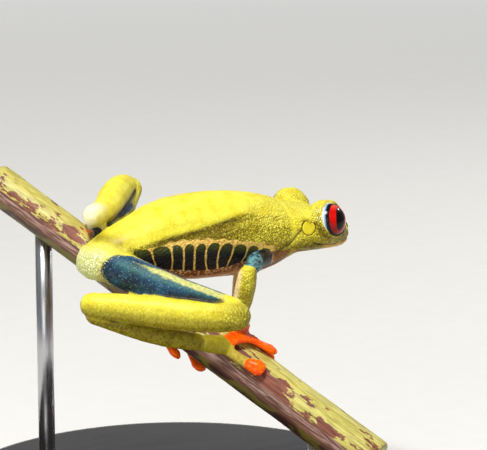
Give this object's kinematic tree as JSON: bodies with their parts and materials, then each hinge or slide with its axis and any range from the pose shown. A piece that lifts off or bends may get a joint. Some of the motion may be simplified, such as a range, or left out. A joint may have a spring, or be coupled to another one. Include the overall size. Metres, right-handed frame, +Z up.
{
  "type": "red-eyed tree frog",
  "caption": "Life-size museum model of a red-eyed tree frog climbing down a sloping plant stem, on a display stand.",
  "frame": {"origin": "centre of the stand base's underside", "axes": "+X the way the frog faces, +Y the frog's left, +Z up"},
  "size_m": [0.092, 0.092, 0.066],
  "materials": {
    "skin": "moist satin skin",
    "orange_skin": "moist glossy skin",
    "eye": "wet gloss",
    "plant_stem": "smooth green bark",
    "lacquered_wood": "satin black lacquer",
    "rod_steel": "polished"
  },
  "bodies": {
    "root": {"trunk": "skin", "head": "skin", "lower_jaw": "skin", "eye_right": "eye", "eye_left": "eye", "eardrum_right": "skin", "eardrum_left": "skin", "shank_right": "skin", "shank_left": "skin", "thigh_right": "skin", "thigh_left": "skin", "tarsus_right": "skin", "tarsus_left": "skin", "forearm_right": "skin", "forearm_left": "skin", "upper_arm_right": "skin", "upper_arm_left": "skin", "sole_right": "orange_skin", "sole_left": "orange_skin", "palm_right": "orange_skin", "palm_left": "orange_skin", "toe_right_1": "orange_skin", "toe_right_2": "orange_skin", "toe_right_3": "orange_skin", "toe_right_4": "orange_skin", "toe_right_5": "orange_skin", "finger_right_1": "orange_skin", "finger_right_2": "orange_skin", "finger_right_3": "orange_skin", "finger_right_4": "orange_skin", "toe_left_1": "orange_skin", "toe_left_2": "orange_skin", "toe_left_3": "orange_skin", "toe_left_4": "orange_skin", "toe_left_5": "orange_skin", "finger_left_1": "orange_skin", "finger_left_2": "orange_skin", "finger_left_3": "orange_skin", "finger_left_4": "orange_skin", "perch_stem": "plant_stem", "stand_base": "lacquered_wood", "stand_rod_rear": "rod_steel", "stand_rod_front": "rod_steel"}
  },
  "joints": []
}
